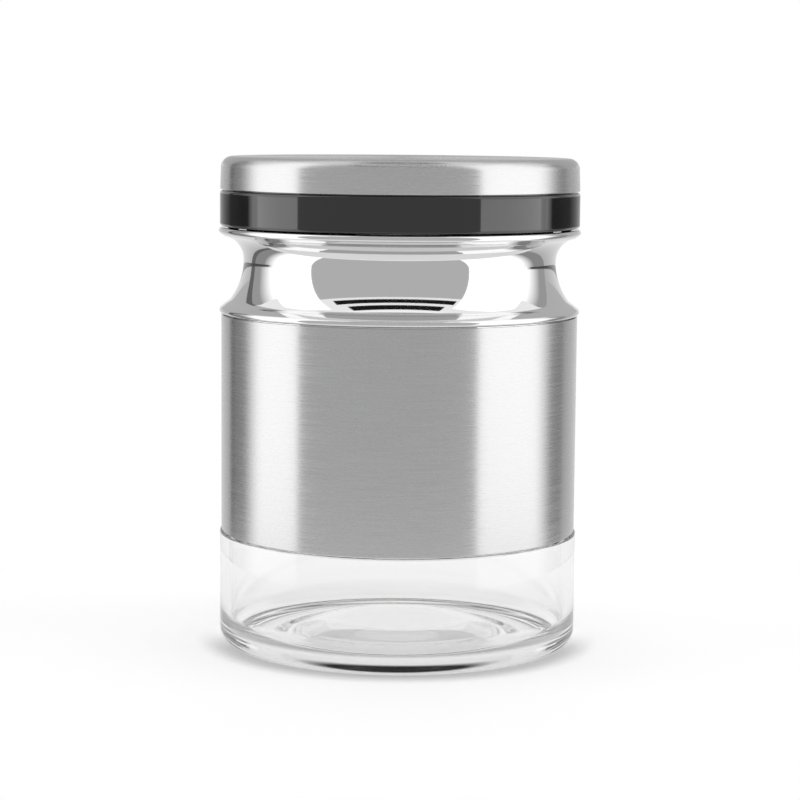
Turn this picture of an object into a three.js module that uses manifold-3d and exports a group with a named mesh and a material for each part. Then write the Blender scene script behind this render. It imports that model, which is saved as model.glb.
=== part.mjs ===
// Glass storage jar with a steel sleeve, a polished neck collar and a screw lid.
// Millimetres, +Z up. The origin is the centre of the base, on the table.
import * as THREE from "three";
import { mergeVertices } from "three/addons/utils/BufferGeometryUtils.js";
import Module from "manifold-3d";

const wasm = await Module();
wasm.setup();

// Sizes that several pieces share
const facets = 48; // flat sides of every turned piece
const bodyRadius = 50; // outside of the brushed sleeve
const sheet = 0.5; // thickness of the steel
const fit = 0.3; // gap between pieces that meet
const film = 0.05; // gap beside an adhesive or a seal

// Glass jar
const glassProud = 0.4; // bare glass outside the sleeve
const clearHeight = 31.7; // table to the step that the sleeve stands on
const heelRadius = 3;
const standWidth = 10.9; // flat ring that the jar stands on
const hollowRise = 2; // middle of the underside above the table
const hollowSlope = 10.5; // width of its sloping edge
const hollowFoot = 5; // outer part of that edge, which curves the other way
const domeRise = 4.4; // middle of the floor above the floor's edge
const domeSlope = 21.5; // width of its sloping edge
const domeFoot = 7.5; // outer part of that edge, which curves the other way
const floorThickness = 1.5; // table to the edge of the floor
const floorRadius = 8; // rounding between floor and wall
const wallThickness = 3;
const rampFall = 1; // inside follows the step for the sleeve, from this far under it
const rampRise = 5; // to this far above it
const shoulderDrop = 5; // end of the collar's spigot to the start of the shoulder
const shoulderRadius = 10;
const shoulderSlope = 50; // degrees from upright
const neckFillet = 6; // hollow rounding between shoulder and neck
const neckWall = 3.4;
const transferBeadHeight = 4; // plain ring under the threads
const finishHeight = 13.9; // collar to rim
const rimRadius = 1.2;

// Two-start thread
const starts = 2;
const lead = 12; // rise in one turn
const threadHeight = 1.5; // glass thread, neck to crest
const threadRoot = 1.4; // half its width at the neck
const threadCrest = 0.6; // half its width at the crest
const threadTopGap = 1.9; // glass thread to rim
const threadEntry = 0.4; // lower edge of the lid's skirt to its thread
const lidThreadRoot = 1.2;
const lidThreadCrest = 0.5;
const lidThreadTrim = 15; // degrees that the lid's thread is shorter at each end
const threadClearance = 0.5; // crest to opposite wall
const threadBite = 0.4; // depth of a thread's foot inside its wall
const runOut = 0.12; // share of a thread that tapers at each end
const runOutStub = 0.1; // share of the height that is left at the very end

// Steel sleeve and its adhesive
const sleeveHeight = 60.7;
const bondThickness = 0.7;
const bondHeight = 8;
const bondRaise = 0.5; // sleeve's lower edge to the adhesive

// Polished collar
const collarHeight = 24.1; // shoulder bead to the land that the lid closes on
const beadRadius = 0.95; // rolled edges at shoulder and flange
const beadOverhang = 0.5; // shoulder bead past the sleeve
const flangeOverhang = 0.7; // flange past the sleeve
const waistDepth = 6.2; // sleeve in to the narrowest place
const waistDrop = 9.1; // land to the narrowest place
const waistClearance = 0.8; // waist to the glass thread that it slides over
const flareRadius = 4; // foot of the waist
const flareStart = 35; // degrees where the long hollow turns into the flare
const flareEnd = 63; // degrees where the flare runs straight to the bead
const flareRun = 1.14; // height of that straight run
const beadTop = 55; // degrees where that run meets the bead
const flangeSlope = 80; // degrees where the upper hollow runs out to the flange
const flangeRun = 0.45; // height of that run
const spigotLength = 4; // part of the collar inside the sleeve
const lipHeight = 3; // down-turned edge against the glass
const lipRounding = 0.8;

// Lid
const bandProud = 0.4; // black band outside the sleeve
const bandHeight = 9.9;
const bandEdge = 0.7; // rounding of the band's edges
const bandWall = 2.2;
const ceilingThickness = 2;
const skirtWall = 2.2; // threaded skirt
const skirtRaise = 0.6; // threaded skirt above the band's lower edge
const ribCount = 8; // webs between band and skirt
const ribThickness = 1.4;
const ribSink = 0.3; // end of a web inside the walls that it joins
const ribHeight = 11;
const capProud = 0.3; // steel cap outside the sleeve, at its lower edge
const capDraft = 0.2; // taper of its side
const capFillet = 3;
const capBondThickness = 1.1;
const capBondWidth = 22;
const capBondInset = 6.8; // edge of the lid's flat top to the adhesive
const sealThickness = 1.6;
const sealWidth = 5.6;
const sealRibWidth = 1.2; // ring that keeps the seal centred
const sealRibHeight = 1.5;

// Heights of the stacked pieces
const sleeveBottomZ = clearHeight + fit;
const sleeveTopZ = sleeveBottomZ + sleeveHeight;
const beadBottomZ = sleeveTopZ + fit;
const landZ = beadBottomZ + collarHeight;
const rimZ = landZ + finishHeight;
const bandBottomZ = landZ + fit;
const bandTopZ = bandBottomZ + bandHeight;
const skirtBottomZ = bandBottomZ + skirtRaise;
const sealBottomZ = rimZ + fit;
const ceilingZ = sealBottomZ + sealThickness + film;
const ceilingTopZ = ceilingZ + ceilingThickness;
const capUndersideZ = ceilingTopZ + capBondThickness + 2 * film;
const capTopZ = capUndersideZ + sheet;
const capBottomZ = bandTopZ + fit;

// Radii, each from the piece that it fits
const sleeveInner = bodyRadius - sheet;
const glassRadius = bodyRadius + glassProud;
const coveredRadius = sleeveInner - bondThickness - 2 * film;
const waistRadius = bodyRadius - waistDepth;
const threadRadius = waistRadius - sheet - waistClearance;
const neckRadius = threadRadius - threadHeight;
const mouthRadius = neckRadius - neckWall;
const bandRadius = bodyRadius + bandProud;
const bandInner = bandRadius - bandWall;
const capRadius = bodyRadius + capProud;
const capShoulderRadius = capRadius - capDraft;
const plugRadius = capShoulderRadius - sheet - fit;
const plugEdge = capFillet - sheet;
const lidRootRadius = threadRadius + threadClearance;
const lidCrestRadius = neckRadius + threadClearance;
const skirtRadius = lidRootRadius + skirtWall;
const sealOuter = lidRootRadius - fit;
const sealInner = sealOuter - sealWidth;

// The lid's thread lies under the glass's, flank to flank
const lidThreadZ = skirtBottomZ + lidThreadRoot + threadEntry;
const glassThreadZ = lidThreadZ + threadRoot + lidThreadCrest - (lead * lidThreadTrim) / 360;
const threadSweep = (360 * (rimZ - threadTopGap - threadRoot - glassThreadZ)) / lead;

const point = (r, z) => new THREE.Vector2(r, z);
const radians = THREE.MathUtils.degToRad;

// Points of an arc round (r, z), in degrees, both ends included
function arc(r, z, radius, from, to, steps) {
  return Array.from({ length: steps + 1 }, (_, i) => {
    const angle = radians(from + ((to - from) * i) / steps);
    return point(r + radius * Math.cos(angle), z + radius * Math.sin(angle));
  });
}

// An outline turned round +Z. It runs anticlockwise, with the axis on its left.
function turned(outline) {
  return new THREE.LatheGeometry(outline, facets).rotateX(Math.PI / 2);
}

function turnedRing(outline) {
  return turned([...outline, outline[0]]);
}

function flatRing(inner, outer, bottom, top) {
  return turnedRing([
    point(inner, bottom),
    point(outer, bottom),
    point(outer, top),
    point(inner, top),
  ]);
}

// Outline of bent sheet: its outer line, and the same line one thickness inside
function sheetOutline(outer) {
  const inner = outer.map((here, i) => {
    const next = outer[i + 1]?.clone().sub(here).normalize();
    const last = i > 0 ? here.clone().sub(outer[i - 1]).normalize() : next;
    const along = last.clone().add(next ?? last).normalize();
    const reach = sheet / along.dot(last);
    return point(here.x - along.y * reach, here.y + along.x * reach);
  });
  return [...outer, ...inner.reverse()];
}

function solidFrom(geometry) {
  const bare = geometry.clone();
  bare.deleteAttribute("normal");
  bare.deleteAttribute("uv");
  const merged = mergeVertices(bare, 1e-3);
  return new wasm.Manifold(
    new wasm.Mesh({
      numProp: 3,
      vertProperties: merged.attributes.position.array,
      triVerts: new Uint32Array(merged.index.array),
    }),
  );
}

function joined(geometry, additions) {
  const whole = additions.reduce((sum, item) => sum.add(solidFrom(item)), solidFrom(geometry));
  const mesh = whole.getMesh();
  const result = new THREE.BufferGeometry();
  result.setAttribute("position", new THREE.BufferAttribute(mesh.vertProperties, 3));
  result.setIndex(new THREE.BufferAttribute(mesh.triVerts, 1));
  result.computeVertexNormals();
  return result;
}

// One helical ridge on a round wall: outward where the crest is wider than the root, else inward
function helicalRidge({ root, crest, rootHalf, crestHalf, startAngle, sweep, startZ }) {
  const outward = Math.sign(crest - root);
  const foot = root - outward * threadBite;
  const steps = Math.ceil((sweep / 360) * facets);
  // Corners of the section: share of the way from foot to top, and rise from its middle
  const section = [
    [0, -rootHalf * outward],
    [1, -crestHalf * outward],
    [1, crestHalf * outward],
    [0, rootHalf * outward],
  ];
  const corners = section.length;
  const positions = [];
  const indices = [];
  for (let i = 0; i <= steps; i++) {
    const along = i / steps;
    const angle = radians(startAngle + sweep * along);
    const z = startZ + (lead * sweep * along) / 360;
    const taper = Math.min(1, runOutStub + Math.min(along, 1 - along) / runOut);
    const top = root + (crest - root) * taper;
    for (const [share, rise] of section) {
      const r = foot + (top - foot) * share;
      positions.push(r * Math.cos(angle), r * Math.sin(angle), z + rise);
    }
  }
  for (let i = 0; i < steps; i++) {
    for (let j = 0; j < corners; j++) {
      const a = i * corners + j;
      const b = i * corners + ((j + 1) % corners);
      indices.push(a, a + corners, b, b, a + corners, b + corners);
    }
  }
  const end = steps * corners;
  indices.push(0, 1, 2, 0, 2, 3, end, end + 2, end + 1, end, end + 3, end + 2);
  const geometry = new THREE.BufferGeometry();
  geometry.setAttribute("position", new THREE.Float32BufferAttribute(positions, 3));
  geometry.setIndex(indices);
  return geometry;
}

// The same ridge for each start of the thread
function threads(ridge) {
  return Array.from({ length: starts }, (_, i) =>
    helicalRidge({ ...ridge, startAngle: ridge.startAngle + (360 / starts) * i }),
  );
}

// Shoulder, straight run and hollow rounding, from a jar wall in to its neck
function shoulderLine(wallR, neckR, convex, hollow) {
  const slope = radians(shoulderSlope);
  const startZ = beadBottomZ - spigotLength - shoulderDrop;
  const fall = wallR - neckR - (convex + hollow) * (1 - Math.cos(slope));
  const endZ = startZ + (convex + hollow) * Math.sin(slope) + fall / Math.tan(slope);
  return [
    ...arc(wallR - convex, startZ, convex, 0, shoulderSlope, 3),
    ...arc(neckR + hollow, endZ, hollow, 180 + shoulderSlope, 180, 2),
  ];
}

// Raised middle of the base, from the axis out to its foot
function raisedMiddle(foot, slope, hollow, rise, baseZ) {
  const grade = (2 * rise) / slope;
  const round = slope - hollow;
  return [
    point(0, baseZ + rise),
    point(foot - slope, baseZ + rise),
    point(foot - slope + round / 2, baseZ + rise - (grade * round) / 8),
    point(foot - hollow, baseZ + (grade * hollow) / 2),
    point(foot, baseZ),
  ];
}

function glassJar() {
  const standOuter = glassRadius - heelRadius;
  const standInner = standOuter - standWidth;
  const lowerInner = glassRadius - wallThickness;
  const innerRadius = coveredRadius - wallThickness;
  const beadTopZ = landZ - fit;
  const beadFootZ = beadTopZ - transferBeadHeight;
  const inside = shoulderLine(
    innerRadius,
    mouthRadius,
    shoulderRadius - wallThickness,
    neckFillet + neckWall,
  );
  const floorMiddle = raisedMiddle(standInner, domeSlope, domeFoot, domeRise, floorThickness);
  const outline = [
    ...raisedMiddle(standInner, hollowSlope, hollowFoot, hollowRise, 0),
    ...arc(standOuter, heelRadius, heelRadius, -90, 0, 4),
    point(glassRadius, clearHeight),
    point(coveredRadius, clearHeight),
    ...shoulderLine(coveredRadius, neckRadius, shoulderRadius, neckFillet),
    point(neckRadius, beadFootZ),
    point(threadRadius, beadFootZ + threadHeight),
    point(threadRadius, beadTopZ),
    point(neckRadius, beadTopZ + threadHeight / 2),
    ...arc(neckRadius - rimRadius, rimZ - rimRadius, rimRadius, 0, 90, 2),
    ...arc(mouthRadius + rimRadius, rimZ - rimRadius, rimRadius, 90, 180, 2),
    ...inside.reverse(),
    point(innerRadius, clearHeight + rampRise),
    point(lowerInner, clearHeight - rampFall),
    ...arc(lowerInner - floorRadius, floorThickness + floorRadius, floorRadius, 0, -90, 5),
    ...floorMiddle.reverse(),
  ];
  const ridges = threads({
    root: neckRadius,
    crest: threadRadius,
    rootHalf: threadRoot,
    crestHalf: threadCrest,
    startAngle: 0,
    sweep: threadSweep,
    startZ: glassThreadZ,
  });
  return joined(turned(outline), ridges);
}

function steelSleeve() {
  return flatRing(sleeveInner, bodyRadius, sleeveBottomZ, sleeveTopZ);
}

function sleeveAdhesive() {
  const bottom = sleeveBottomZ + bondRaise;
  const inner = coveredRadius + film;
  return flatRing(inner, inner + bondThickness, bottom, bottom + bondHeight);
}

function neckCollar() {
  const spigotRadius = sleeveInner - fit;
  const beadCentre = bodyRadius + beadOverhang - beadRadius;
  const beadZ = beadBottomZ + beadRadius;
  const waistZ = landZ - waistDrop;
  const flangeCentre = bodyRadius + flangeOverhang - beadRadius;
  const lipRadius = threadRadius + fit;

  // The upper hollow reaches up to the flange, the lower one down to the flare
  const upper = (waistDrop - 2 * beadRadius - flangeRun) / Math.sin(radians(flangeSlope));
  const startSin = Math.sin(radians(flareStart));
  const startCos = Math.cos(radians(flareStart));
  const flareDrop = flareRadius * (Math.sin(radians(flareEnd)) - startSin);
  const runEndZ = beadZ + beadRadius * Math.sin(radians(beadTop));
  const lower = (waistZ - runEndZ - flareRun - flareDrop) / startSin;
  const flareCentre = waistRadius + lower - (lower - flareRadius) * startCos;
  const flareZ = waistZ - (lower - flareRadius) * startSin;
  const outer = [
    point(spigotRadius, beadBottomZ - spigotLength),
    point(spigotRadius, beadBottomZ),
    ...arc(beadCentre, beadZ, beadRadius, -90, beadTop, 3),
    ...arc(flareCentre, flareZ, flareRadius, 180 + flareEnd, 180 + flareStart, 1),
    ...arc(waistRadius + lower, waistZ, lower, 180 + flareStart, 180, 3).slice(1),
    ...arc(waistRadius + upper, waistZ, upper, 180, 180 - flangeSlope, 4).slice(1),
    ...arc(flangeCentre, landZ - beadRadius, beadRadius, -flangeSlope, 90, 4),
    point(lipRadius + lipRounding, landZ),
    point(lipRadius, landZ - lipRounding),
    point(lipRadius, landZ - lipHeight),
  ];
  return turnedRing(sheetOutline(outer));
}

function lidCap() {
  const filletR = capShoulderRadius - capFillet;
  const filletZ = capTopZ - capFillet;
  return turned([
    point(0, capUndersideZ),
    ...arc(filletR, filletZ, capFillet - sheet, 90, 0, 4),
    point(capRadius - sheet, capBottomZ),
    point(capRadius, capBottomZ),
    ...arc(filletR, filletZ, capFillet, 0, 90, 4),
    point(0, capTopZ),
  ]);
}

function capAdhesive() {
  const outer = plugRadius - plugEdge - capBondInset;
  const bottom = ceilingTopZ + film;
  return flatRing(outer - capBondWidth, outer, bottom, bottom + capBondThickness);
}

function lidInsert() {
  const sealRibOuter = sealInner - fit;
  const sealRibInner = sealRibOuter - sealRibWidth;
  const edgeRadius = bandRadius - bandEdge;
  const outline = [
    point(0, ceilingZ),
    point(sealRibInner, ceilingZ),
    point(sealRibInner, ceilingZ - sealRibHeight),
    point(sealRibOuter, ceilingZ - sealRibHeight),
    point(sealRibOuter, ceilingZ),
    point(lidRootRadius, ceilingZ),
    point(lidRootRadius, skirtBottomZ),
    point(skirtRadius, skirtBottomZ),
    point(skirtRadius, ceilingZ),
    point(bandInner, ceilingZ),
    point(bandInner, bandBottomZ),
    ...arc(edgeRadius, bandBottomZ + bandEdge, bandEdge, -90, 0, 2),
    ...arc(edgeRadius, bandTopZ - bandEdge, bandEdge, 0, 90, 2),
    point(plugRadius, bandTopZ),
    ...arc(plugRadius - plugEdge, ceilingTopZ - plugEdge, plugEdge, 0, 90, 2),
    point(0, ceilingTopZ),
  ];
  const ribLength = bandInner - skirtRadius + 2 * ribSink;
  const ribs = Array.from({ length: ribCount }, (_, i) =>
    new THREE.BoxGeometry(ribLength, ribThickness, ribHeight)
      .translate(skirtRadius - ribSink + ribLength / 2, 0, ceilingZ + ribSink - ribHeight / 2)
      .rotateZ(((i + 0.5) * 2 * Math.PI) / ribCount),
  );
  const ridges = threads({
    root: lidRootRadius,
    crest: lidCrestRadius,
    rootHalf: lidThreadRoot,
    crestHalf: lidThreadCrest,
    startAngle: lidThreadTrim,
    sweep: threadSweep - 2 * lidThreadTrim,
    startZ: lidThreadZ,
  });
  return joined(turned(outline), [...ribs, ...ridges]);
}

function lidSeal() {
  return flatRing(sealInner, sealOuter, sealBottomZ, sealBottomZ + sealThickness);
}

const finish = (color, roughness, metalness) =>
  new THREE.MeshStandardMaterial({ color, roughness, metalness });
const clearGlass = finish(0xe8ebea, 0.02, 0);
clearGlass.transparent = true;
clearGlass.opacity = 0.35;
const brushedSteel = finish(0xb4b4b4, 0.35, 1);
const polishedSteel = finish(0xd2d2d2, 0.04, 1);
const blackPlastic = finish(0x2b2b2c, 0.18, 0);
const silicone = finish(0xe4e4e0, 0.55, 0);
const adhesive = finish(0xd9d6cc, 0.6, 0);

function piece(name, geometry, material) {
  const mesh = new THREE.Mesh(geometry, material);
  mesh.name = name;
  return mesh;
}

const vessel = new THREE.Group().add(
  piece("glass_jar", glassJar(), clearGlass),
  piece("steel_sleeve", steelSleeve(), brushedSteel),
  piece("sleeve_adhesive", sleeveAdhesive(), adhesive),
  piece("neck_collar", neckCollar(), polishedSteel),
);
const lid = new THREE.Group().add(
  piece("lid_cap", lidCap(), brushedSteel),
  piece("cap_adhesive", capAdhesive(), adhesive),
  piece("lid_insert", lidInsert(), blackPlastic),
  piece("lid_seal", lidSeal(), silicone),
);

export default new THREE.Group().add(vessel, lid);
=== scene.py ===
import math

import bpy
from mathutils import Matrix, Vector


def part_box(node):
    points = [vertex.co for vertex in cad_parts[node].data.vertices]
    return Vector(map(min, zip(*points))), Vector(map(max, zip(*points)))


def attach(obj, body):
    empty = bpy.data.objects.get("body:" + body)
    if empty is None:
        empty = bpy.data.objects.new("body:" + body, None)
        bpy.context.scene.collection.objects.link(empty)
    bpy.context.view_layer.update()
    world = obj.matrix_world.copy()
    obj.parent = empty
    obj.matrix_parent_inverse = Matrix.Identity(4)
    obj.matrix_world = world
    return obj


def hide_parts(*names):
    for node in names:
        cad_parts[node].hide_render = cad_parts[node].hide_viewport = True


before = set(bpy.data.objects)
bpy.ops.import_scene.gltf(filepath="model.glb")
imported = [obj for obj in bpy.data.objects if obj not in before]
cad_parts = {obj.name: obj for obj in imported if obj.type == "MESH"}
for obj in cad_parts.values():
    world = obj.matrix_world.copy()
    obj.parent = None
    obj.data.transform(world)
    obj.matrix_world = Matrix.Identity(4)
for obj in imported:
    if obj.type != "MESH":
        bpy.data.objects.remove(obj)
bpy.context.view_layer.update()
scene = bpy.context.scene
mm = 0.001
around = 256  # points round a turned piece
creaseAngle = 40  # edges that bend more than this many degrees stay sharp
tiny = 1e-6  # radii closer than this are the same
noiseLow, noiseHigh = 0.3, 0.7  # most of a noise texture's values lie between these


def boxInMm(node):
    low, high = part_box(node)
    return low / mm, high / mm


# outlines are lists of (radius, height) in mm, anticlockwise with the axis on the left
def arc(r, z, radius, start, end, steps):
    angles = [math.radians(start + (end - start) * i / steps) for i in range(steps + 1)]
    return [(r + radius * math.cos(a), z + radius * math.sin(a)) for a in angles]


# straight stretch cut into short steps, for a wall that carries a thread
def wall(r, z1, z2, step):
    count = max(1, round(abs(z2 - z1) / step))
    return [(r, z1 + (z2 - z1) * i / count) for i in range(count + 1)]


# share from 0 to 1 that starts and ends gently
def eased(share):
    return share * share * (3 - 2 * share)


# S-shaped ramp in a wall, from one radius to another
def softStep(r1, z1, r2, z2, steps):
    shares = [i / steps for i in range(steps + 1)]
    return [(r1 + (r2 - r1) * eased(s), z1 + (z2 - z1) * s) for s in shares]


# raised middle of a pressed base: level out to flat, rounded over to turn, hollow down to foot
def dome(flat, turn, foot, rise, base, steps):
    slope = 2 * rise / (foot - flat)
    line = [(0, base + rise)]
    for i in range(steps + 1):
        r = flat + (turn - flat) * i / steps
        line.append((r, base + rise - slope * (r - flat) ** 2 / (turn - flat) / 2))
    for i in range(1, steps + 1):
        r = turn + (foot - turn) * i / steps
        line.append((r, base + slope * (foot - r) ** 2 / (foot - turn) / 2))
    return line


# closed outline of bent sheet: its outer line, and back along the same line moved in
def sheetOutline(outer, thickness):
    inner = []
    for i, here in enumerate(outer):
        h = Vector(here)
        nxt = (Vector(outer[i + 1]) - h).normalized() if i + 1 < len(outer) else None
        last = (h - Vector(outer[i - 1])).normalized() if i > 0 else nxt
        along = (last + (nxt or last)).normalized()
        reach = thickness / along.dot(last)
        inner.append((h.x - along.y * reach, h.y + along.x * reach))
    return outer + inner[::-1]


# extra points close to the ends of long straight stretches, so that shading stays flat between them
def supported(outline, closed):
    longRun, gap = 1.5, 0.12  # mm
    points = []
    for i, here in enumerate(outline):
        points.append(here)
        if i + 1 == len(outline) and not closed:
            break
        start, end = Vector(here), Vector(outline[(i + 1) % len(outline)])
        length = (end - start).length
        if length > longRun:
            points += [tuple(start.lerp(end, share)) for share in (gap / length, 1 - gap / length)]
    return points


def meshPiece(name, verts, faces, material):
    mesh = bpy.data.meshes.new(name)
    mesh.from_pydata(verts, [], faces)
    mesh.validate()
    mesh.shade_smooth()
    mesh.set_sharp_from_angle(angle=math.radians(creaseAngle))
    mesh.materials.append(material)
    piece = bpy.data.objects.new(name, mesh)
    scene.collection.objects.link(piece)
    return piece


# turns an outline round Z: closed is a ring, open starts and ends on the axis;
# relief(angle, r, z) gives a shifted (r, z)
def turnedPiece(name, outline, material, closed=True, relief=None):
    verts, rows, faces = [], [], []
    for r, z in supported(outline, closed):
        if r < tiny:
            rows.append([len(verts)] * around)
            verts.append((0, 0, z * mm))
            continue
        rows.append(list(range(len(verts), len(verts) + around)))
        for i in range(around):
            a = 2 * math.pi * i / around
            rr, zz = relief(a, r, z) if relief else (r, z)
            verts.append((rr * mm * math.cos(a), rr * mm * math.sin(a), zz * mm))
    pairs = list(zip(rows, rows[1:] + rows[:1])) if closed else list(zip(rows, rows[1:]))
    for low, high in pairs:
        for i in range(around):
            j = (i + 1) % around
            quad = [low[i], low[j], high[j], high[i]]
            face = [v for k, v in enumerate(quad) if v not in quad[:k]]
            if len(face) > 2:
                faces.append(face)
    return meshPiece(name, verts, faces, material)


def place(piece, body, slot, *nodes):
    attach(piece, body)
    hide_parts(*nodes)
    print("made", piece.name, "for", ", ".join(nodes))


# sRGB hex to linear colour
def linear(hexColour):
    parts = [int(hexColour[i:i + 2], 16) / 255 for i in (1, 3, 5)]
    return [c / 12.92 if c <= 0.04045 else ((c + 0.055) / 1.055) ** 2.4 for c in parts] + [1]


# adds a node with its settings; a socket given as a value is linked
def addNode(tree, kind, inputs=None, **settings):
    node = tree.nodes.new(kind)
    for key, value in settings.items():
        setattr(node, key, value)
    for key, value in (inputs or {}).items():
        if isinstance(value, bpy.types.NodeSocket):
            tree.links.new(value, node.inputs[key])
        else:
            node.inputs[key].default_value = value
    return node


def newMaterial(name):
    material = bpy.data.materials.new(name)
    material.use_nodes = True
    tree = material.node_tree
    tree.nodes.clear()
    output = addNode(tree, "ShaderNodeOutputMaterial")
    return material, tree, output


# clear soda-lime glass, pressed and fire-polished: faintly grey, with soft ripples left by the mould
def clearGlass():
    look = {"colour": "#ffffff", "ior": 1.52, "roughness": 0.0, "rippleMm": 14, "ripple": 0.01,
            "rippleDepthMm": 1, "depthTone": "#000000", "greyPerMetre": 3.5}
    material, tree, output = newMaterial("clearPressedGlass")
    spot = addNode(tree, "ShaderNodeTexCoord")
    ripple = addNode(tree, "ShaderNodeTexNoise", {
        "Vector": spot.outputs["Object"], "Scale": 1 / (look["rippleMm"] * mm), "Detail": 1.0})
    bump = addNode(tree, "ShaderNodeBump", {
        "Height": ripple.outputs["Fac"], "Strength": look["ripple"],
        "Distance": look["rippleDepthMm"] * mm})
    shader = addNode(tree, "ShaderNodeBsdfPrincipled", {
        "Base Color": linear(look["colour"]), "IOR": look["ior"], "Roughness": look["roughness"],
        "Transmission Weight": 1.0, "Normal": bump.outputs["Normal"]})
    depth = addNode(tree, "ShaderNodeVolumeAbsorption", {
        "Color": linear(look["depthTone"]), "Density": look["greyPerMetre"]})
    tree.links.new(depth.outputs["Volume"], output.inputs["Volume"])
    tree.links.new(shader.outputs["BSDF"], output.inputs["Surface"])
    return material


# stainless steel brushed round the axis: fine level scratches that draw highlights out upright;
# real ones are finer, these are as coarse as they need to be to show
def brushedSteel():
    look = {"colour": "#d8d8d8", "dark": "#c8c8c8", "roughness": 0.27, "spread": 0.06,
            "anisotropy": 0.85, "quarterTurn": 0.25, "scratchMm": 0.22, "lengthMm": 16,
            "depthMm": 0.004, "bump": 0.25}
    material, tree, output = newMaterial("brushedStainlessSteel")
    spot = addNode(tree, "ShaderNodeTexCoord")
    # scratches are level on the walls and run round the axis on the flat top
    flat = addNode(tree, "ShaderNodeVectorMath", {
        0: spot.outputs["Object"], 1: (1, 1, 0)}, operation="MULTIPLY")
    reach = addNode(tree, "ShaderNodeVectorMath", {0: flat.outputs["Vector"]}, operation="LENGTH")
    outward = addNode(tree, "ShaderNodeCombineXYZ", {"Z": reach.outputs["Value"]})
    along = addNode(tree, "ShaderNodeVectorMath", {
        0: spot.outputs["Object"], 1: outward.outputs["Vector"]}, operation="ADD")
    stretch = addNode(tree, "ShaderNodeMapping", {
        "Vector": along.outputs["Vector"],
        "Scale": (1 / (look["lengthMm"] * mm),) * 2 + (1 / (look["scratchMm"] * mm),)})
    scratch = addNode(tree, "ShaderNodeTexNoise", {
        "Vector": stretch.outputs["Vector"], "Scale": 1.0, "Detail": 3.0, "Roughness": 0.65})
    tone = addNode(tree, "ShaderNodeMix", {
        "Factor": scratch.outputs["Fac"], "A": linear(look["dark"]), "B": linear(look["colour"])},
        data_type="RGBA")
    rough = addNode(tree, "ShaderNodeMapRange", {
        "Value": scratch.outputs["Fac"], "From Min": noiseLow, "From Max": noiseHigh,
        "To Min": look["roughness"] - look["spread"], "To Max": look["roughness"] + look["spread"]})
    bump = addNode(tree, "ShaderNodeBump", {
        "Height": scratch.outputs["Fac"], "Strength": look["bump"],
        "Distance": look["depthMm"] * mm})
    tangent = addNode(tree, "ShaderNodeTangent", direction_type="RADIAL", axis="Z")
    shader = addNode(tree, "ShaderNodeBsdfPrincipled", {
        "Base Color": tone.outputs["Result"], "Metallic": 1.0, "Roughness": rough.outputs["Result"],
        "Anisotropic": look["anisotropy"], "Anisotropic Rotation": look["quarterTurn"],
        "Tangent": tangent.outputs["Tangent"], "Normal": bump.outputs["Normal"]})
    tree.links.new(shader.outputs["BSDF"], output.inputs["Surface"])
    return material


# the same steel buffed to a mirror: clean reflections with a trace of polishing haze
def polishedSteel():
    look = {"colour": "#e6e6e6", "roughness": 0.03, "haze": 0.03, "swirlMm": 6}
    material, tree, output = newMaterial("mirrorPolishedSteel")
    spot = addNode(tree, "ShaderNodeTexCoord")
    swirl = addNode(tree, "ShaderNodeTexNoise", {
        "Vector": spot.outputs["Object"], "Scale": 1 / (look["swirlMm"] * mm), "Detail": 4.0})
    rough = addNode(tree, "ShaderNodeMapRange", {
        "Value": swirl.outputs["Fac"], "From Min": noiseLow, "From Max": noiseHigh,
        "To Min": look["roughness"], "To Max": look["roughness"] + look["haze"]})
    shader = addNode(tree, "ShaderNodeBsdfPrincipled", {
        "Base Color": linear(look["colour"]), "Metallic": 1.0,
        "Roughness": rough.outputs["Result"]})
    tree.links.new(shader.outputs["BSDF"], output.inputs["Surface"])
    return material


# black ABS from a polished mould: deep and glossy, with a faint haze where the plastic flowed
def glossyAbs():
    look = {"colour": "#080808", "ior": 1.53, "roughness": 0.05, "haze": 0.04, "flowMm": 5,
            "coat": 0.7, "coatIor": 1.5, "coatRoughness": 0.03}
    material, tree, output = newMaterial("glossyBlackAbs")
    spot = addNode(tree, "ShaderNodeTexCoord")
    flow = addNode(tree, "ShaderNodeTexNoise", {
        "Vector": spot.outputs["Object"], "Scale": 1 / (look["flowMm"] * mm), "Detail": 3.0})
    rough = addNode(tree, "ShaderNodeMapRange", {
        "Value": flow.outputs["Fac"], "From Min": noiseLow, "From Max": noiseHigh,
        "To Min": look["roughness"], "To Max": look["roughness"] + look["haze"]})
    shader = addNode(tree, "ShaderNodeBsdfPrincipled", {
        "Base Color": linear(look["colour"]), "IOR": look["ior"],
        "Roughness": rough.outputs["Result"], "Coat Weight": look["coat"],
        "Coat IOR": look["coatIor"], "Coat Roughness": look["coatRoughness"]})
    tree.links.new(shader.outputs["BSDF"], output.inputs["Surface"])
    return material


# moulded food-grade silicone: milky, soft sheen, light goes a little way in
def milkySilicone():
    look = {"colour": "#e6e6e2", "ior": 1.41, "roughness": 0.42, "milk": 0.3, "milkMm": 2,
            "grainMm": 0.4, "depthMm": 0.01, "bump": 0.2}
    material, tree, output = newMaterial("milkySilicone")
    spot = addNode(tree, "ShaderNodeTexCoord")
    grain = addNode(tree, "ShaderNodeTexNoise", {
        "Vector": spot.outputs["Object"], "Scale": 1 / (look["grainMm"] * mm), "Detail": 2.0})
    bump = addNode(tree, "ShaderNodeBump", {
        "Height": grain.outputs["Fac"], "Strength": look["bump"],
        "Distance": look["depthMm"] * mm})
    shader = addNode(tree, "ShaderNodeBsdfPrincipled", {
        "Base Color": linear(look["colour"]), "IOR": look["ior"], "Roughness": look["roughness"],
        "Subsurface Weight": look["milk"], "Subsurface Scale": look["milkMm"] * mm,
        "Normal": bump.outputs["Normal"]})
    tree.links.new(shader.outputs["BSDF"], output.inputs["Surface"])
    return material


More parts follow.
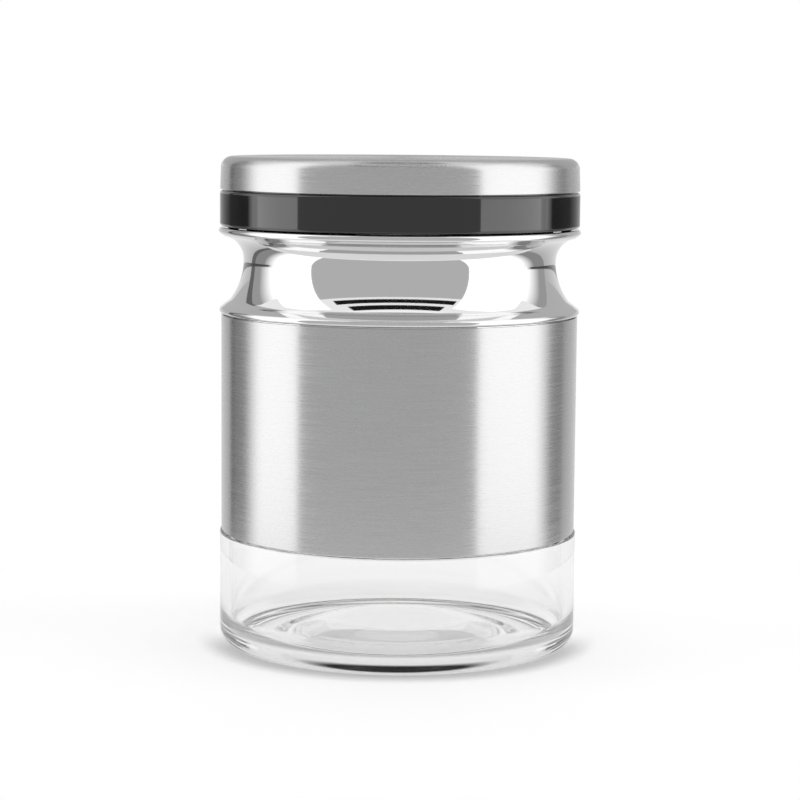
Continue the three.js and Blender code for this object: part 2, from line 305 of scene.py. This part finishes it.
# cured elastic adhesive: dull, slightly uneven in tone where it was spread
def curedAdhesive():
    look = {"pale": "#dcdad2", "dark": "#c9c6bb", "ior": 1.45, "roughness": 0.6, "patchMm": 7}
    material, tree, output = newMaterial("curedAdhesive")
    spot = addNode(tree, "ShaderNodeTexCoord")
    patch = addNode(tree, "ShaderNodeTexNoise", {
        "Vector": spot.outputs["Object"], "Scale": 1 / (look["patchMm"] * mm), "Detail": 3.0})
    tone = addNode(tree, "ShaderNodeMix", {
        "Factor": patch.outputs["Fac"], "A": linear(look["pale"]), "B": linear(look["dark"])},
        data_type="RGBA")
    shader = addNode(tree, "ShaderNodeBsdfPrincipled", {
        "Base Color": tone.outputs["Result"], "IOR": look["ior"],
        "Roughness": look["roughness"]})
    tree.links.new(shader.outputs["BSDF"], output.inputs["Surface"])
    return material


glass = clearGlass()
brushed = brushedSteel()
polished = polishedSteel()
blackAbs = glossyAbs()
silicone = milkySilicone()
adhesive = curedAdhesive()
print("materials ready")

# heights and radii that the pieces share, from the frame
sleeveLow, sleeveHigh = boxInMm("steel_sleeve")
collarLow, collarHigh = boxInMm("neck_collar")
jarHigh = boxInMm("glass_jar")[1]
insertLow, insertHigh = boxInMm("lid_insert")
capLow, capHigh = boxInMm("lid_cap")
sealLow, sealHigh = boxInMm("lid_seal")
bodyRadius = sleeveHigh.x
landZ = collarHigh.z
rimZ = jarHigh.z

# two-start screw of jar and lid, in mm and degrees
screw = {"starts": 2, "lead": 12, "neck": 41.0, "height": 1.5, "root": 1.4, "crest": 0.6,
         "clearance": 0.5, "topGap": 1.9, "lidRoot": 1.2, "lidCrest": 0.5, "lidTrim": 15,
         "lidEntry": 0.4, "skirtRaise": 0.6, "runOut": 0.12, "meshStep": 0.12}
lidThreadZ = insertLow.z + screw["skirtRaise"] + screw["lidRoot"] + screw["lidEntry"]
jarThreadZ = (lidThreadZ + screw["root"] + screw["lidCrest"]
              - screw["lead"] * screw["lidTrim"] / 360)
threadSweep = 360 * (rimZ - screw["topGap"] - screw["root"] - jarThreadZ) / screw["lead"]


# how far a thread stands out of its wall at an angle and height, from 0 to 1
def threadRelief(angle, z, startAngle, sweep, startZ, root, crest):
    best = 0.0
    for start in range(screw["starts"]):
        turn = (math.degrees(angle) - startAngle - 360 / screw["starts"] * start) % 360
        if turn > sweep:
            continue
        off = abs(z - startZ - screw["lead"] * turn / 360)
        flank = min(1.0, max(0.0, (root - off) / (root - crest)))
        ends = min(1.0, min(turn, sweep - turn) / (sweep * screw["runOut"]))
        best = max(best, eased(flank) * ends)
    return best


# clear jar: domed base, step for the sleeve, shoulder, neck and moulded thread; mm and degrees
jar = {"heel": 4.2, "stand": 9.7, "floor": 1.5, "floorRadius": 8.0,
       "hollow": 2.0, "hollowFlat": 26.0, "hollowTurn": 31.5,
       "dome": 4.4, "domeFlat": 15.0, "domeTurn": 29.0, "wall": 3.0, "covered": 48.7,
       "rampFall": 1.0, "rampRise": 5.0, "step": sleeveLow.z - 0.3,
       "shoulderZ": collarLow.z - 5.0, "shoulder": 10.0, "slope": 50.0,
       "neckFillet": 6.0, "neckWall": 3.4, "rim": 1.2, "stepEase": 0.4,
       "bead": 4.0, "beadGap": 0.3, "beadEase": 0.5, "beadFlare": 1.3, "threadGap": 0.4}


# from the wall round the shoulder, up its slope and round into the neck
def shoulderLine(wallR, neckR, convex, hollow):
    slope = math.radians(jar["slope"])
    fall = wallR - neckR - (convex + hollow) * (1 - math.cos(slope))
    endZ = jar["shoulderZ"] + (convex + hollow) * math.sin(slope) + fall / math.tan(slope)
    return (arc(wallR - convex, jar["shoulderZ"], convex, 0, jar["slope"], 12)
            + arc(neckR + hollow, endZ, hollow, 180 + jar["slope"], 180, 12))


def makeJar():
    radius = jarHigh.x
    standOuter = radius - jar["heel"]
    standInner = standOuter - jar["stand"]
    innerR = jar["covered"] - jar["wall"]
    lowerR = radius - jar["wall"]
    neckR, crestR = screw["neck"], screw["neck"] + screw["height"]
    mouthR = neckR - jar["neckWall"]
    beadTop = landZ - jar["beadGap"]
    beadFoot = beadTop - jar["bead"]
    rim, ease, beadEase = jar["rim"], jar["stepEase"], jar["beadEase"]
    inside = shoulderLine(innerR, mouthR, jar["shoulder"] - jar["wall"],
                          jar["neckFillet"] + jar["neckWall"])
    outline = dome(jar["hollowFlat"], jar["hollowTurn"], standInner, jar["hollow"], 0, 12)
    outline += arc(standOuter, jar["heel"], jar["heel"], -90, 0, 16)
    outline += arc(radius - ease, jar["step"] - ease, ease, 0, 90, 5)
    outline += arc(jar["covered"] + ease, jar["step"] + ease, ease, 270, 180, 4)
    outline += shoulderLine(jar["covered"], neckR, jar["shoulder"], jar["neckFillet"])
    outline += arc(neckR + beadEase, beadFoot, beadEase, 180, 135, 2)
    outline += arc(crestR - beadEase, beadFoot + jar["beadFlare"], beadEase, -45, 0, 3)
    outline += arc(crestR - beadEase, beadTop - beadEase, beadEase, 0, 60, 4)
    outline += wall(neckR, beadTop + jar["threadGap"], rimZ - rim, screw["meshStep"])
    outline += arc(neckR - rim, rimZ - rim, rim, 0, 90, 8)[1:]
    outline += arc(mouthR + rim, rimZ - rim, rim, 90, 180, 8)
    outline += inside[::-1]
    outline += softStep(innerR, jar["step"] + jar["rampRise"],
                        lowerR, jar["step"] - jar["rampFall"], 10)
    outline += arc(lowerR - jar["floorRadius"], jar["floor"] + jar["floorRadius"],
                   jar["floorRadius"], 0, -90, 20)
    outline += dome(jar["domeFlat"], jar["domeTurn"], standInner,
                    jar["dome"], jar["floor"], 16)[::-1]

    def relief(angle, r, z):
        if abs(r - neckR) > tiny or z < beadTop:
            return r, z
        rise = threadRelief(angle, z, 0, threadSweep, jarThreadZ, screw["root"], screw["crest"])
        return r + screw["height"] * rise, z

    piece = turnedPiece("jar_glass", outline, glass, closed=False, relief=relief)
    place(piece, "jar", "clear_glass", "glass_jar")


# brushed tube with its lower edge eased; mm
sleeve = {"sheet": 0.5, "edge": 0.2}


def makeSleeve():
    low, high, r = sleeveLow.z, sleeveHigh.z, bodyRadius
    edge, sheet = sleeve["edge"], sleeve["sheet"]
    outline = arc(r - edge, low + edge, edge, -90, 0, 4)
    outline += [(r, high), (r - sheet, high), (r - sheet, low)]
    piece = turnedPiece("sleeve_steel", outline, brushed)
    place(piece, "jar", "brushed_steel", "steel_sleeve")


# polished collar: spigot, shoulder bead, waist, flange and the lip against the glass; mm and degrees
collar = {"sheet": 0.5, "bead": 0.95, "overhang": 0.5, "waistDepth": 6.2, "waistDrop": 9.1,
          "flare": 4.0, "flareStart": 35, "flareEnd": 63, "flareRun": 1.14, "beadTop": 55,
          "flangeSlope": 80, "flangeRun": 0.45, "spigot": 4.0, "spigotGap": 0.8, "lip": 3.0,
          "lipRounding": 0.8, "lipRadius": 42.8}


def makeCollar():
    c = collar
    beadBottom = collarLow.z + c["spigot"]
    beadZ = beadBottom + c["bead"]
    beadR = bodyRadius + c["overhang"] - c["bead"]
    waistR, waistZ = bodyRadius - c["waistDepth"], landZ - c["waistDrop"]
    flangeR = collarHigh.x - c["bead"]
    spigotR = bodyRadius - c["spigotGap"]
    startSin = math.sin(math.radians(c["flareStart"]))
    startCos = math.cos(math.radians(c["flareStart"]))
    upper = (c["waistDrop"] - 2 * c["bead"] - c["flangeRun"]) / math.sin(
        math.radians(c["flangeSlope"]))
    drop = c["flare"] * (math.sin(math.radians(c["flareEnd"])) - startSin)
    runEnd = beadZ + c["bead"] * math.sin(math.radians(c["beadTop"]))
    lower = (waistZ - runEnd - c["flareRun"] - drop) / startSin
    flareR = waistR + lower - (lower - c["flare"]) * startCos
    flareZ = waistZ - (lower - c["flare"]) * startSin
    outer = [(spigotR, collarLow.z), (spigotR, beadBottom)]
    outer += arc(beadR, beadZ, c["bead"], -90, c["beadTop"], 14)
    outer += arc(flareR, flareZ, c["flare"], 180 + c["flareEnd"], 180 + c["flareStart"], 12)
    outer += arc(waistR + lower, waistZ, lower, 180 + c["flareStart"], 180, 24)[1:]
    outer += arc(waistR + upper, waistZ, upper, 180, 180 - c["flangeSlope"], 24)[1:]
    outer += arc(flangeR, landZ - c["bead"], c["bead"], -c["flangeSlope"], 90, 16)
    outer += arc(c["lipRadius"] + c["lipRounding"], landZ - c["lipRounding"],
                 c["lipRounding"], 90, 180, 6)
    outer += [(c["lipRadius"], landZ - c["lip"])]
    piece = turnedPiece("collar_steel", sheetOutline(outer, c["sheet"]), polished)
    place(piece, "jar", "polished_steel", "neck_collar")


# brushed cap with a rounded top edge and a slight taper; mm
cap = {"sheet": 0.5, "fillet": 3.0, "draft": 0.2, "edge": 0.2, "flatRings": 6}


def makeCap():
    r, top, low = capHigh.x, capHigh.z, capLow.z
    shoulderR = r - cap["draft"]
    filletR, filletZ = shoulderR - cap["fillet"], top - cap["fillet"]
    edge = cap["edge"]
    outline = [(0, top - cap["sheet"])]
    outline += arc(filletR, filletZ, cap["fillet"] - cap["sheet"], 90, 0, 12)
    outline += [(r - cap["sheet"], low)]
    outline += arc(r - edge, low + edge, edge, -90, 0, 4)
    outline += arc(filletR, filletZ, cap["fillet"], 0, 90, 24)
    rings = cap["flatRings"]
    outline += [(filletR * k / rings, top) for k in range(rings - 1, 0, -1)]
    outline += [(0, top)]
    piece = turnedPiece("cap_steel", outline, brushed, closed=False)
    place(piece, "lid", "brushed_steel", "lid_cap")


# black moulding: band, plug under the cap, ceiling, seal rib and threaded skirt with webs; mm
insert = {"bandHeight": 9.9, "edge": 0.7, "bandWall": 2.2, "ceiling": 2.0, "skirtWall": 2.2,
          "plug": 49.3, "plugEdge": 2.5, "sealWidth": 5.6, "sealGap": 0.3, "ribWidth": 1.2,
          "ribHeight": 1.5, "threadGap": 0.3, "webs": 8, "webThickness": 1.4, "webHeight": 11.0,
          "webSink": 0.3, "webEase": 0.3}


def makeInsert():
    s = insert
    r, low, top = insertHigh.x, insertLow.z, insertHigh.z
    ceilingZ = top - s["ceiling"]
    rootR = screw["neck"] + screw["height"] + screw["clearance"]
    skirtR = rootR + s["skirtWall"]
    skirtZ = low + screw["skirtRaise"]
    bandInner = r - s["bandWall"]
    ribOuter = rootR - s["sealGap"] - s["sealWidth"] - s["sealGap"]
    ribInner = ribOuter - s["ribWidth"]
    bandTop, edge = low + s["bandHeight"], s["edge"]
    outline = [(0, ceilingZ), (ribInner, ceilingZ), (ribInner, ceilingZ - s["ribHeight"]),
               (ribOuter, ceilingZ - s["ribHeight"]), (ribOuter, ceilingZ), (rootR, ceilingZ)]
    outline += wall(rootR, ceilingZ - s["threadGap"], skirtZ, screw["meshStep"])
    outline += [(skirtR, skirtZ), (skirtR, ceilingZ), (bandInner, ceilingZ), (bandInner, low)]
    outline += arc(r - edge, low + edge, edge, -90, 0, 8)
    outline += arc(r - edge, bandTop - edge, edge, 0, 90, 8)
    outline += [(s["plug"], bandTop)]
    outline += arc(s["plug"] - s["plugEdge"], top - s["plugEdge"], s["plugEdge"], 0, 90, 8)
    outline += [(0, top)]
    sweep = threadSweep - 2 * screw["lidTrim"]

    def relief(angle, rr, z):
        if abs(rr - rootR) > tiny or z > ceilingZ - s["threadGap"] / 2:
            return rr, z
        rise = threadRelief(angle, z, screw["lidTrim"], sweep, lidThreadZ,
                            screw["lidRoot"], screw["lidCrest"])
        return rr - screw["height"] * rise, z

    piece = turnedPiece("lid_moulding", outline, blackAbs, closed=False, relief=relief)
    place(piece, "lid", "black_plastic", "lid_insert")
    makeWebs(skirtR, bandInner, ceilingZ)


# upright webs between the threaded skirt and the band, their free edge eased
def makeWebs(skirtR, bandInner, ceilingZ):
    half, ease, sink = insert["webThickness"] / 2, insert["webEase"], insert["webSink"]
    low = ceilingZ + sink - insert["webHeight"]
    section = [(-half, ceilingZ + sink)]
    section += [(x - half + ease, z) for x, z in arc(0, low + ease, ease, 180, 270, 4)]
    section += [(x + half - ease, z) for x, z in arc(0, low + ease, ease, 270, 360, 4)]
    section += [(half, ceilingZ + sink)]
    count = len(section)
    verts, faces = [], []
    for i in range(insert["webs"]):
        a = 2 * math.pi * (i + 0.5) / insert["webs"]
        start = len(verts)
        for r in (skirtR - sink, bandInner + sink):
            for x, z in section:
                verts.append((mm * (r * math.cos(a) - x * math.sin(a)),
                              mm * (r * math.sin(a) + x * math.cos(a)), mm * z))
        faces.append([start + k for k in range(count)])
        faces.append([start + count + k for k in reversed(range(count))])
        for k in range(count):
            j = (k + 1) % count
            faces.append([start + k, start + count + k, start + count + j, start + j])
    piece = meshPiece("lid_webs", verts, faces, blackAbs)
    place(piece, "lid", "black_plastic", "lid_insert")


# silicone ring with rounded edges; mm
seal = {"edge": 0.35}


def makeSeal():
    outer, low, high = sealHigh.x, sealLow.z, sealHigh.z
    inner = outer - insert["sealWidth"]
    edge = seal["edge"]
    outline = arc(inner + edge, low + edge, edge, 180, 270, 4)
    outline += arc(outer - edge, low + edge, edge, 270, 360, 4)
    outline += arc(outer - edge, high - edge, edge, 0, 90, 4)
    outline += arc(inner + edge, high - edge, edge, 90, 180, 4)
    piece = turnedPiece("seal_silicone", outline, silicone)
    place(piece, "seal", "silicone", "lid_seal")


makeJar()
makeSleeve()
makeCollar()
makeCap()
makeInsert()
makeSeal()
# the two rings of adhesive keep their CAD shapes
for node in ("sleeve_adhesive", "cap_adhesive"):
    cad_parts[node].data.materials.clear()
    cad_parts[node].data.materials.append(adhesive)
print("pieces ready")

# studio: lamps and cards on a dome round the jar, its radius and centre in metres
studio = {"reach": 3.0, "domeZ": 0.1, "worldLight": 0.35, "white": "#ffffff"}


def stagePiece(name, mesh, material):
    mesh.materials.append(material)
    piece = bpy.data.objects.new(name, mesh)
    scene.collection.objects.link(piece)
    return piece


# lamp or card that the camera doesn't see; light is one strength, or two that it fades between
def glowing(name, mesh, light):
    material, tree, output = newMaterial(name)
    lamp = addNode(tree, "ShaderNodeEmission", {"Color": linear(studio["white"])})
    if isinstance(light, tuple):
        fade = addNode(tree, "ShaderNodeAttribute", attribute_name="fade")
        mix = addNode(tree, "ShaderNodeMapRange", {
            "Value": fade.outputs["Fac"], "To Min": light[0], "To Max": light[1]})
        tree.links.new(mix.outputs["Result"], lamp.inputs["Strength"])
    else:
        lamp.inputs["Strength"].default_value = light
    tree.links.new(lamp.outputs["Emission"], output.inputs["Surface"])
    piece = stagePiece(name, mesh, material)
    piece.visible_camera = False
    piece.visible_transmission = False
    return piece


# patch of the dome: azimuths in degrees from the camera's side towards +X, then elevations in
# degrees; light fades from the first azimuth to the second
def panel(name, start, end, low, high, light, reach=studio["reach"]):
    across, up = 24, 10
    verts, faces, shares = [], [], []
    for i in range(across + 1):
        a = math.radians(start + (end - start) * i / across)
        for j in range(up + 1):
            e = math.radians(low + (high - low) * j / up)
            verts.append((reach * math.cos(e) * math.sin(a), -reach * math.cos(e) * math.cos(a),
                          studio["domeZ"] + reach * math.sin(e)))
            shares.append(i / across)
            if i and j:
                k = i * (up + 1) + j
                faces.append((k - 1, k, k - up - 1, k - up - 2))
    mesh = bpy.data.meshes.new(name)
    mesh.from_pydata(verts, [], faces)
    mesh.attributes.new("fade", "FLOAT", "POINT").data.foreach_set("value", shares)
    return glowing(name, mesh, light)


# tall softbox on each side that falls off to grey towards the back, in one way below the split
# and in another above it; degrees, and light of which 1 is white
softbox = {"left": (66.5, 100.5), "right": (51, 99), "foot": -40, "split": -0.5, "top": 55,
           "light": 1.5, "fallOff": 16, "grey": 0.29, "greyEnd": 131,
           "topStart": 104, "topEnd": 122, "topHigh": 30, "topGrey": 0.37}
# narrow level band in front of it, hot on the softbox and then a dark flag
band = {"low": -2.7, "high": -0.9, "reach": 2.9, "hot": 2.1, "fade": 104, "flag": 111,
        "flagEnd": 136, "end": 168, "dark": 0.08, "tail": (0.1, 0.5)}
# cards behind the jar, below and above their own split
back = {"end": 180, "split": 6, "top": 60, "lowLight": (0.5, 0.9), "highLight": 0.5}


def sidePanels(side, turn):
    def put(name, start, end, *rest):
        panel(side + name, turn * start, turn * end, *rest)

    s, b = softbox, band
    inner, outer = s[side]
    fallEnd = outer + s["fallOff"]
    level = (b["low"], b["high"])
    topFade = (s["light"], s["topGrey"])
    put("Softbox", inner, outer, s["foot"], s["top"], s["light"])
    put("HotBand", inner, outer, *level, b["hot"], b["reach"])
    put("FallOff", outer, fallEnd, s["foot"], s["split"], (s["light"], s["grey"]))
    put("SoftboxTop", outer, s["topStart"], s["split"], s["top"], s["light"])
    put("FallOffTop", s["topStart"], s["topEnd"], s["split"], s["topHigh"], topFade)
    put("GreyTop", s["topEnd"], s["greyEnd"], s["split"], s["topHigh"], s["topGrey"])
    put("Grey", fallEnd, s["greyEnd"], s["foot"], s["split"], s["grey"])
    put("FlagFade", b["fade"], b["flag"], *level, (s["light"], b["dark"]), b["reach"])
    put("Flag", b["flag"], b["flagEnd"], *level, b["dark"], b["reach"])
    put("FlagEnd", b["flagEnd"], b["end"], *level, b["tail"], b["reach"])
    put("Back", s["greyEnd"], back["end"], s["foot"], back["split"], back["lowLight"])
    put("BackTop", s["greyEnd"], back["end"], back["split"], back["top"], back["highLight"])


sidePanels("left", -1)
sidePanels("right", 1)

# single cards: two azimuths, two elevations, light, and metres away where not on the dome
cards = {"leftEdge": (-138, -131, -40, 30, 0.15, 2.95),
         "greyWall": (-72, 60, -40, 40, 0.52, 3.1),
         "blackStrip": (-56, 48, 43.3, 49.5, 0.01),
         "blackBeam": (-48, 42, 53.3, 61, 0.01),
         "frontStrip": (-62, 55, 61.5, 74, 1.1),
         "ceiling": (-180, 180, 74, 90, 0.22),
         "backLight": (130, 230, 2, 45, 1.2, 2.5)}
made = {name: panel(name, *card) for name, card in cards.items()}
made["backLight"].visible_glossy = False  # it lights the table and isn't mirrored in the steel

# white table: its glow to the eye, in mirrors and through glass, painted brighter near the jar and
# darker with painted shadows round and under its foot; mm
table = {"radius": 160, "sides": 64, "drop": 0.1, "tone": "#c3c3c3", "ringShadowTone": "#000000",
         "glow": 0.66, "mirrored": 0.75, "through": 0.86,
         "near": 1.2, "nearEnd": 48, "far": 0.97, "farStart": 56,
         "contact": 0.4, "contactIn": (45.5, 48), "contactOut": (49.5, 58), "contactY": (-20, 15),
         "ringShadowInner": 41.0, "ringShadowOuter": 42.2, "ringShadowSoft": 0.2, "ringShadowY": (-34, -27)}


# share of the glow at each spot of the table, and the painted shadow ring where the foot stands
def tableShade(tree):
    t = table
    spot = addNode(tree, "ShaderNodeTexCoord")
    length = addNode(tree, "ShaderNodeVectorMath", {0: spot.outputs["Object"]}, operation="LENGTH")
    axes = addNode(tree, "ShaderNodeSeparateXYZ", {0: spot.outputs["Object"]})
    reach, depth = length.outputs["Value"], axes.outputs["Y"]
    soft = t["ringShadowSoft"]
    inEdge = (t["ringShadowInner"] - soft, t["ringShadowInner"] + soft)
    outEdge = (t["ringShadowOuter"] - soft, t["ringShadowOuter"] + soft)
    # painted contact shadow at the front, then a painted shadow ring where the foot stands, which
    # the heel magnifies, then the glow, painted stronger near the jar as a pool of light: value, its
    # stretch and both levels
    ramps = {"contactIn": (reach, t["contactIn"], (0, 1), "LINEAR"),
             "contactOut": (reach, t["contactOut"], (1, 0), "SMOOTHSTEP"),
             "contactFront": (depth, t["contactY"], (1 - t["contact"], 0), "SMOOTHSTEP"),
             "ringShadowIn": (reach, inEdge, (0, 1), "LINEAR"),
             "ringShadowOut": (reach, outEdge, (1, 0), "LINEAR"),
             "ringShadowFront": (depth, t["ringShadowY"], (1, 0), "SMOOTHSTEP"),
             "far": (reach, (t["nearEnd"], t["farStart"]), (t["near"], t["far"]), "SMOOTHSTEP")}
    shade = {}
    for name, (value, stretch, levels, kind) in ramps.items():
        ramp = addNode(tree, "ShaderNodeMapRange", {
            "Value": value, "From Min": stretch[0] * mm, "From Max": stretch[1] * mm,
            "To Min": levels[0], "To Max": levels[1]}, interpolation_type=kind)
        shade[name] = ramp.outputs["Result"]
    # the painted contact shadow and the painted shadow ring are each the product of their three
    # ramps
    for name in ("contact", "ringShadow"):
        ring = addNode(tree, "ShaderNodeMath", {
            0: shade[name + "In"], 1: shade[name + "Out"]}, operation="MULTIPLY")
        arcOfRing = addNode(tree, "ShaderNodeMath", {
            0: ring.outputs["Value"], 1: shade[name + "Front"]}, operation="MULTIPLY")
        shade[name] = arcOfRing.outputs["Value"]
    # the two painted shadows take their share away from the glow
    dip = addNode(tree, "ShaderNodeMath", {0: shade["contact"], 1: shade["ringShadow"]}, operation="ADD")
    kept = addNode(tree, "ShaderNodeMath", {0: 1.0, 1: dip.outputs["Value"]}, operation="SUBTRACT")
    lit = addNode(tree, "ShaderNodeMath", {
        0: shade["far"], 1: kept.outputs["Value"]}, operation="MULTIPLY")
    return lit.outputs["Value"], shade["ringShadow"]


def makeTable():
    t = table
    mesh = bpy.data.meshes.new("table")
    turns = [2 * math.pi * i / t["sides"] for i in range(t["sides"])]
    radius = t["radius"] * mm
    rim = [(radius * math.cos(a), radius * math.sin(a), -t["drop"] * mm) for a in turns]
    mesh.from_pydata(rim, [], [list(range(t["sides"]))])
    material, tree, output = newMaterial("whiteTable")
    path = addNode(tree, "ShaderNodeLightPath")
    through = addNode(tree, "ShaderNodeMath", {
        0: path.outputs["Is Transmission Ray"], 1: t["through"]}, operation="MULTIPLY")
    mirrored = addNode(tree, "ShaderNodeMath", {
        0: path.outputs["Is Glossy Ray"], 1: t["mirrored"]}, operation="MULTIPLY")
    seen = addNode(tree, "ShaderNodeMath", {
        0: path.outputs["Is Camera Ray"], 1: through.outputs["Value"]}, operation="MAXIMUM")
    seen = addNode(tree, "ShaderNodeMath", {
        0: seen.outputs["Value"], 1: mirrored.outputs["Value"]}, operation="MAXIMUM")
    lit, ringShadow = tableShade(tree)
    seen = addNode(tree, "ShaderNodeMath", {
        0: seen.outputs["Value"], 1: lit}, operation="MULTIPLY")
    glow = addNode(tree, "ShaderNodeMath", {
        0: seen.outputs["Value"], 1: t["glow"]}, operation="MULTIPLY")
    # the painted shadow ring also turns the table's own colour black
    tone = addNode(tree, "ShaderNodeMix", {
        "Factor": ringShadow, "A": linear(t["tone"]), "B": linear(t["ringShadowTone"])}, data_type="RGBA")
    paint = addNode(tree, "ShaderNodeBsdfDiffuse", {"Color": tone.outputs["Result"]})
    light = addNode(tree, "ShaderNodeEmission", {
        "Color": linear(studio["white"]), "Strength": glow.outputs["Value"]})
    both = addNode(tree, "ShaderNodeAddShader", {
        0: paint.outputs["BSDF"], 1: light.outputs["Emission"]})
    tree.links.new(both.outputs["Shader"], output.inputs["Surface"])
    stagePiece("table", mesh, material)


# white to the eye, in mirrors and through glass, with a plain level of light on the jar
def makeWorld():
    world = bpy.data.worlds.new("whiteStudio")
    scene.world = world
    world.use_nodes = True
    tree = world.node_tree
    tree.nodes.clear()
    path = addNode(tree, "ShaderNodeLightPath")
    seen = addNode(tree, "ShaderNodeMath", {
        0: path.outputs["Is Camera Ray"], 1: path.outputs["Is Glossy Ray"]}, operation="MAXIMUM")
    seen = addNode(tree, "ShaderNodeMath", {
        0: seen.outputs["Value"], 1: path.outputs["Is Transmission Ray"]}, operation="MAXIMUM")
    strength = addNode(tree, "ShaderNodeMapRange", {
        "Value": seen.outputs["Value"], "To Min": studio["worldLight"], "To Max": 1.0})
    light = addNode(tree, "ShaderNodeBackground", {
        "Color": linear(studio["white"]), "Strength": strength.outputs["Result"]})
    output = addNode(tree, "ShaderNodeOutputWorld")
    tree.links.new(light.outputs["Background"], output.inputs["Surface"])


# camera fitted to the photograph's ellipses: mm and degrees
shot = {"lens": 106.8, "sensor": 36, "distance": 667.2, "height": 146.8, "pitch": 6.714,
        "roll": 0.473, "yaw": 0.035}


def makeCamera():
    data = bpy.data.cameras.new("camera")
    data.lens, data.sensor_width = shot["lens"], shot["sensor"]
    camera = bpy.data.objects.new("camera", data)
    scene.collection.objects.link(camera)
    turn = (Matrix.Rotation(math.radians(-shot["yaw"]), 4, "Z")
            @ Matrix.Rotation(math.radians(90 - shot["pitch"]), 4, "X")
            @ Matrix.Rotation(math.radians(shot["roll"]), 4, "Z"))
    camera.matrix_world = Matrix.Translation((0, -shot["distance"] * mm, shot["height"] * mm)) @ turn
    scene.camera = camera


makeTable()
makeWorld()
makeCamera()
scene.view_settings.view_transform = "Standard"
# light goes to and fro many times in the glass foot
scene.cycles.max_bounces = 40
scene.cycles.glossy_bounces = 30
scene.cycles.transmission_bounces = 40
print("studio ready")
